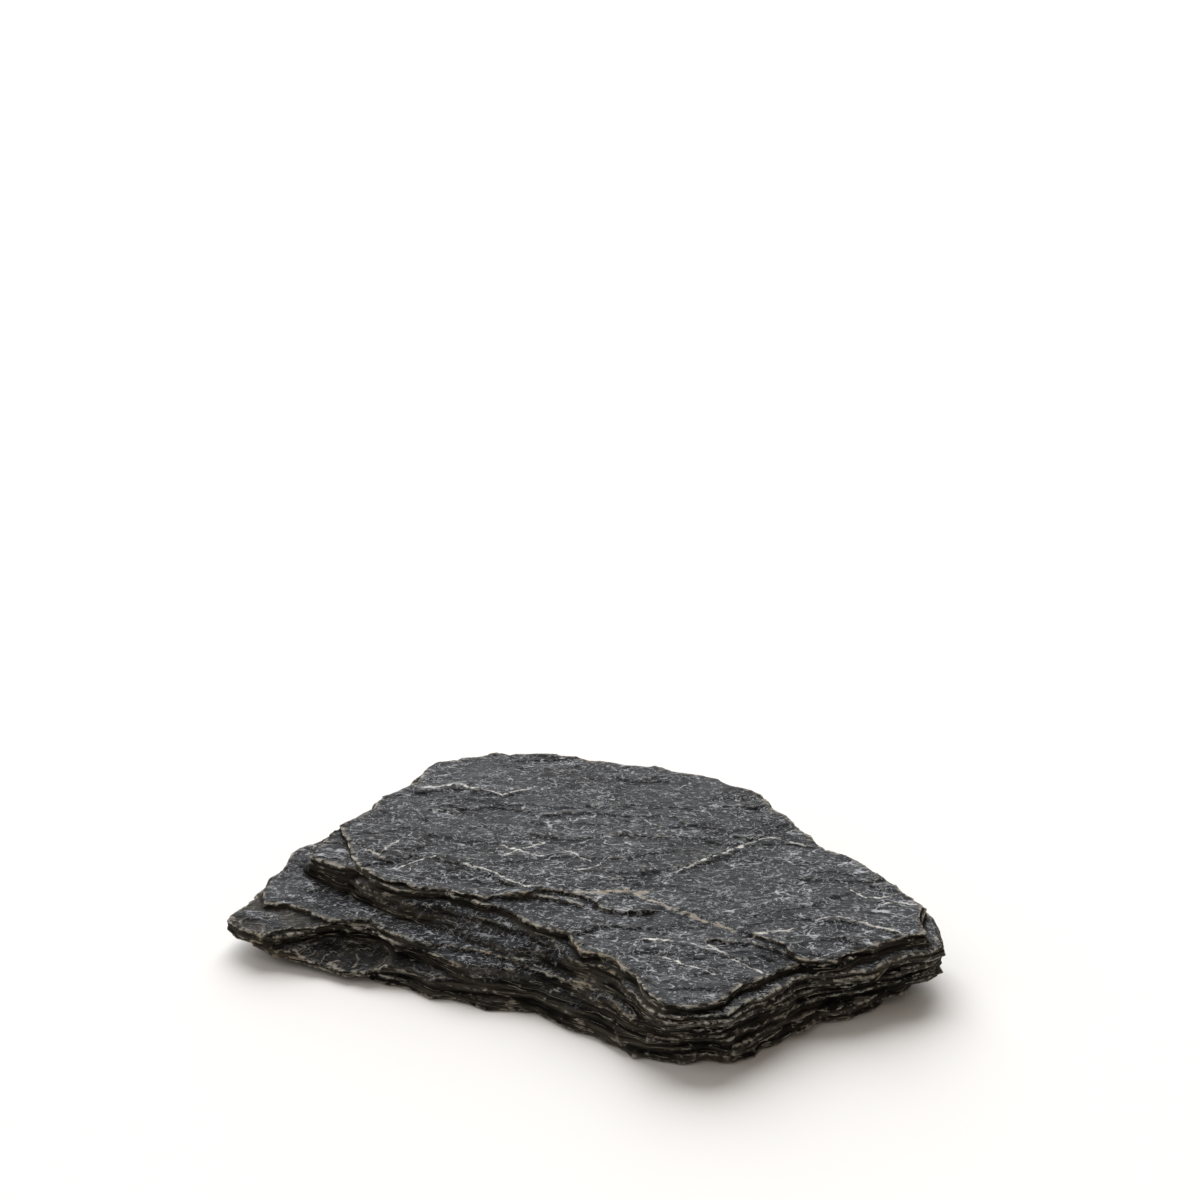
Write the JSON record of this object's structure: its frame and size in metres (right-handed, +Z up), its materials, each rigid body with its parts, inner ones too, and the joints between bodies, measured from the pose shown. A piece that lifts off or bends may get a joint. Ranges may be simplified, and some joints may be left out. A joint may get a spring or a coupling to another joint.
{
  "type": "slate slab",
  "caption": "Thin slab of dark split slate with a broad flat top, ragged layered edges and a flat underside to rest on.",
  "frame": {"origin": "on the ground under the middle of the slab's bounding box", "axes": "+X along the slab's length, +Y from the stepped front edge to the back edge, +Z up out of the cleavage face"},
  "size_m": [0.2302, 0.172, 0.0209],
  "materials": {
    "slate": "satin"
  },
  "bodies": {
    "root": {"slate_slab": "slate"}
  },
  "joints": []
}
